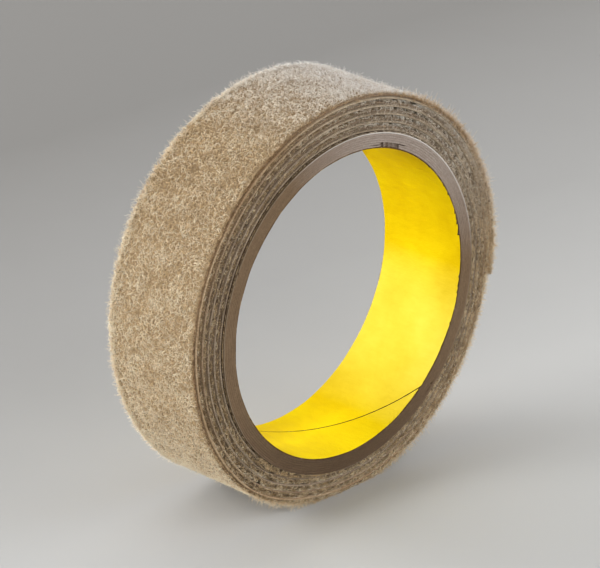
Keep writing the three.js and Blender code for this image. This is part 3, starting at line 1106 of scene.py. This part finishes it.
def back_fringe(start, end):
    """Short hairs along the back edge."""
    _, sweep = scatter(start, end, FRINGE_WIDTH, BACK_FRINGE)
    return hairs(sweep, PILE_BACK - FRINGE_WIDTH, PILE_BACK + BACK_FRINGE_PAST, BACK_FRINGE_LENGTH,
                 BACK_FRINGE_LEAN, BACK_FRINGE_TONES)


def wall_loops(sweep, low, high, side, fuzz, middle):
    """Loops on the roll's front, side -1, or its back, side 1, rooted from low to high above the pile's
    foot, with pits left between them. They bulge past the base's edge where they hang in front of it."""
    wall = PILE_FRONT if side < 0 else PILE_BACK
    root = rng.uniform(low, high)
    filled = PIT_FILL * np.minimum(fuzz / FILLED_FUZZ, 1)
    kept = PITS(along_tape(sweep), PIT_FLATNESS * root) > PIT_LEVEL - filled
    values = (sweep, low, high, fuzz, middle, root)
    sweep, low, high, fuzz, middle, root = (value[kept] for value in values)
    count = len(sweep)
    heading = rng.uniform(0, 2 * np.pi, count)
    span = rng.uniform(*WALL_SPANS, count)
    bulge = rng.uniform(*WALL_BULGES, count) + fuzz * rng.gamma(*WALL_FUZZ_BULGE, count)
    bulge = np.where(root < OVER_BASE_ROOT, bulge + OVER_BASE, bulge)
    inside = np.where(root < OVER_BASE_ROOT, OVER_BASE, -WALL_INSIDE)

    def control(share, out, wander):
        lift = rng.normal(0, WALL_LIFT, count) * wander * (1 + fuzz)
        rise = np.clip(root + np.sin(heading) * span * share + lift, low - BELOW_ROOT, high)
        along = np.cos(heading) * span * share + rng.normal(0, WALL_WANDER, count) * wander
        return tape_points(sweep, along, wall + side * out, rise)

    path = loop_path(control, inside, bulge)
    # Bright loops are fibres of lighter tone that also serve as painted highlights, the glints of shiny
    # fibres
    bright = rng.random(count) < BRIGHT_SHARE * np.minimum(BRIGHT_LEAST + fuzz, 1)
    plain_tone = loop_tones(sweep, 0 * sweep + wall, middle - WALL_DARKER, WALL_VARIETY)
    tone = np.where(bright, middle + BRIGHTER, plain_tone)
    fullness = SMOOTH_THINNESS + (1 - SMOOTH_THINNESS) * fuzz
    return path, pick(bright, BRIGHT_THICKNESS, WALL_THICKNESS) * fullness, tone


def edge_loops(start, end, side):
    """Loops on the pile's wall at one edge of the tape, up to the turn outside it."""
    _, sweep = scatter(start, end, PILE_HEIGHT, FRONT_DENSITY if side < 0 else BACK_DENSITY)
    outer = sweep + 360 > TAPE_SWEEP
    off = np.abs(angle_from(angle_at(sweep), SMOOTHEST_ANGLE))
    least = np.interp(off, SMOOTH_ANGLES, SMOOTH_FUZZ)
    fuzz = np.maximum(fuzziness(sweep), np.where(outer, 0, least))
    top = pile_height(sweep) + np.where(outer, 0, TURN_CLEARANCE - TURN_GAP)
    hang = near_angle(angle_at(sweep), HANGING_ANGLE, low=-0.1, high=0.7)
    hang = HANG * np.maximum(hang, HANG_LEAST * least)
    # The inner turns' walls take a darker tone: painted shade between the turns
    middle = np.where(outer, OUTER_TONE, SHADED_INNER_TONE + INNER_FUZZ_TONE * least) + FUZZ_TONE * fuzz
    return wall_loops(sweep, -hang, top, side, fuzz, middle)


def start_loops(side):
    """Loops caught between the core and the first turn, most of them in the wedge where it climbs."""
    climb = 360 - CLIMB_ANGLE
    _, level_sweep = scatter(CAUGHT_SWEEP, climb, CORE_GAP, CAUGHT_DENSITY)
    _, wedge_sweep = scatter(climb, 360 + CAUGHT_SWEEP, PILE_HEIGHT, WEDGE_DENSITY)
    sweep = np.concatenate([level_sweep, wedge_sweep])
    top = 0 * sweep - BASE_THICKNESS - BOND_LINE
    wedge = base_inner(sweep) - WINDING_RADIUS
    low = top - wedge - CORE_GAP + CAUGHT_GAP
    return wall_loops(sweep, low, top, side, 0 * sweep + CAUGHT_FUZZ, 0 * sweep + CAUGHT_TONE)


def frayed_end():
    """Short ends of yarn that stand out of the tape's cut end."""
    count = FRAYED_COUNT
    y = rng.uniform(TAPE_FRONT + FRAYED_MARGIN, TAPE_BACK - FRAYED_MARGIN, count)
    root = rng.uniform(-BASE_THICKNESS, PILE_HEIGHT, count)
    reach = rng.uniform(*FRAYED_REACH, count)
    lift = rng.normal(0, FRAYED_BEND, count) * reach
    aside = rng.normal(0, FRAYED_BEND, count) * reach

    def control(share):
        rise = np.maximum(root + lift * share ** 2, -BASE_THICKNESS)
        return tape_points(TAPE_SWEEP, reach * share - FRAYED_ROOT, y + aside * share ** 2, rise)

    path = bezier(*[control(share) for share in FRAYED_SHARES])
    thickness = rng.uniform(*FRAYED_THICKNESS, count)
    return path, thickness, rng.uniform(*FRAYED_TONES, count)


def make_loops(name, start, end, material):
    groups = [make(start, end) for make in (tread_loops, stray_hairs, front_fringe, back_fringe)]
    groups += [edge_loops(start, end, side) for _, side in EDGES]
    if end == TAPE_SWEEP:
        groups.append(frayed_end())
    path, thickness, tone = (np.concatenate(parts) for parts in zip(*groups))
    return fibres(name, path, thickness, tone, material)


# The scene's pieces of the tape

def stay_on_roll(piece, node="loop_pile_winding"):
    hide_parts(node)
    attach(piece, "roll")


def make_tape(materials):
    stay_on_roll(make_base("tape_base", 0, FIXED_SWEEP, materials["base"]), "tape_base_winding")
    stay_on_roll(make_mat("pile_mat", 0, FIXED_SWEEP, materials["mat"]))
    for number in range(360 // FIELD_ANGLE):
        start = FIELD_START + number * FIELD_ANGLE
        name = f"loop_field_{number + 1}"
        stay_on_roll(make_loops(name, start, start + FIELD_ANGLE, materials["fibre"]))
    for number, start in enumerate(np.arange(0, FIELD_START, INNER_ANGLE)):
        end = min(start + INNER_ANGLE, FIELD_START)
        for edge, side in EDGES:
            name = f"inner_turns_{edge}_{number + 1}"
            stay_on_roll(fibres(name, *edge_loops(start, end, side), materials["fibre"]))
    for edge, side in EDGES:
        stay_on_roll(fibres(f"start_loops_{edge}", *start_loops(side), materials["fibre"]))


def middle_of_base(sweep):
    point = on_roll(base_inner(sweep) + BASE_THICKNESS / 2, angle_at(sweep), 0.0)
    return tuple(float(value) * MM for value in point)


def make_tail(materials):
    makers = (
        ("tape_base_tail", make_base, materials["base"], "tail_base"),
        ("pile_mat_tail", make_mat, materials["mat"], "tail_pile"),
        ("loop_field_tail", make_loops, materials["fibre"], "tail_pile"),
    )
    numbers = range(1, TAIL_SEGMENTS + 1)
    bodies = ["roll"] + [f"tail_{number}" for number in numbers]
    for number in numbers:
        start = FIXED_SWEEP + (number - 1) * TAIL_SEGMENT_ANGLE
        end = start + TAIL_SEGMENT_ANGLE
        for name, make, material, node in makers:
            piece = make(f"{name}_{number}", start, end, material)
            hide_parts(f"{node}_{number}")
            middle_of_base(start)
            middle_of_base(end)
            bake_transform(piece)
    for name, make, material, node in makers:
        piece = make(f"{name}_tip", TIP_SWEEP, TAPE_SWEEP, material)
        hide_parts(f"{node}_{TAIL_SEGMENTS}")
        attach(piece, bodies[-1])


# The stage

PICTURE_WIDTH = 600
FOCAL_PIXELS = 4050
SENSOR_WIDTH = 36
CLIP_START = 0.05
CLIP_END = 20
VIEW_AZIMUTH = -45.44
VIEW_ELEVATION = 23.31
VIEW_DISTANCE = 962
VIEW_ASIDE = -3.05
VIEW_ABOVE = 1.38
FLOOR_HALF = 3000
FLOOR_FADE = 0.3
FLOOR_TURN = 0.85
SKY_COLOUR = (0.95, 0.97, 1, 1)
SKY_STRENGTH = 0.02

# Soft boxes that face the roll: metres to the camera's right, towards it and up, size and watts
LAMPS = {
    "left_light": (-1.0, 0, 0.5, 1.2, 1.2),
    "low_left_light": (-1.0, 0.1, 0.25, 0.9, 18.0),
    "back_left_light": (-0.8, -0.6, 0.6, 1.2, 6.0),
    "front_light": (0, 1.1, 0.6, 1.2, 3.4),
    "right_light": (1.0, 0, 0.5, 1.4, 5.4),
    "front_right_light": (0.8, 0.7, 0.6, 1.4, 7.0),
    "high_back_light": (0, -0.7, 0.8, 1.2, 2.4),
    "back_light": (0.2, -1.0, 0.4, 1.0, 5.2),
}


def view_axes():
    azimuth = math.radians(VIEW_AZIMUTH)
    elevation = math.radians(VIEW_ELEVATION)
    level_back = Vector((math.sin(azimuth), -math.cos(azimuth), 0))
    back = level_back * math.cos(elevation) + Vector((0, 0, math.sin(elevation)))
    right = Vector((math.cos(azimuth), math.sin(azimuth), 0))
    return right, back.cross(right), back


def make_camera():
    right, up, back = view_axes()
    target = Vector((0, (CORE_FRONT + CORE_BACK) / 2, AXIS_HEIGHT))
    place = target + back * VIEW_DISTANCE + right * VIEW_ASIDE + up * VIEW_ABOVE
    data = bpy.data.cameras.new("camera")
    data.sensor_width = SENSOR_WIDTH
    data.lens = FOCAL_PIXELS / PICTURE_WIDTH * SENSOR_WIDTH
    data.clip_start = CLIP_START
    data.clip_end = CLIP_END
    camera = bpy.data.objects.new("camera", data)
    turn = Matrix((right, up, back)).transposed().to_4x4()
    camera.matrix_world = Matrix.Translation(place * MM) @ turn
    bpy.context.scene.collection.objects.link(camera)
    bpy.context.scene.camera = camera


def floor_finish():
    """A floor that grows lighter towards the camera and to its right: painted light, in place of the lamps'
    falloff across it.
    """
    look = Look("floor", roughness=0.75, specular=0.2)
    place = look.object_place()
    right, _, back = view_axes()
    towards = back + FLOOR_TURN * right
    inputs = {0: place, 1: (towards.x, towards.y, 0)}
    depth = look.node("ShaderNodeVectorMath", inputs, operation="DOT_PRODUCT")["Value"]
    nearness = look.between(depth, -FLOOR_FADE, FLOOR_FADE)
    tone = look.weighted((nearness, 1), (look.noise(place, scale=40, detail=2), 0.02))
    look.feed(look.shader, {"Base Color": look.ramp(tone, FLOOR_STOPS, FLOOR)})
    return look.material


def make_floor():
    signs = np.array([[-1, -1, 0], [1, -1, 0], [1, 1, 0], [-1, 1, 0]])
    floor = mesh_object("floor", FLOOR_HALF * signs, np.arange(4), np.array([4]), floor_finish())


def make_lights():
    right, _, back = view_axes()
    towards = Vector((back.x, back.y, 0)).normalized()
    target = Vector((0, 0, AXIS_HEIGHT * MM))
    for name, (aside, near, height, size, power) in LAMPS.items():
        place = right * aside + towards * near + Vector((0, 0, height))
        data = bpy.data.lights.new(name, "AREA")
        data.energy = power
        data.size = size
        lamp = bpy.data.objects.new(name, data)
        lamp.location = place
        lamp.rotation_euler = (target - place).to_track_quat("-Z", "Y").to_euler()
        bpy.context.scene.collection.objects.link(lamp)
    world = bpy.data.worlds.new("studio")
    world.use_nodes = True
    sky = world.node_tree.nodes["Background"]
    sky.inputs["Color"].default_value = SKY_COLOUR
    sky.inputs["Strength"].default_value = SKY_STRENGTH
    bpy.context.scene.world = world
    bpy.context.scene.view_settings.view_transform = "Standard"


def main():
    make_camera()
    make_floor()
    make_lights()
    materials = {
        "paper": yellow_paper(),
        "board": paperboard("core_board", BOARD, LIT_BOARD, WINDING_RADIUS),
        "wrap": paperboard("core_wrap", WRAP, HIGHLIGHT_WRAP, WRAP_OUTER),
        "base": woven_base(),
        "mat": pile_mat(),
        "fibre": loop_fibre(),
    }
    make_core(materials)
    make_tape(materials)
    make_tail(materials)
    adhesive = bpy.data.objects["start_adhesive_strip"]
    adhesive.material_slots[0].material = tacky_adhesive()


main()
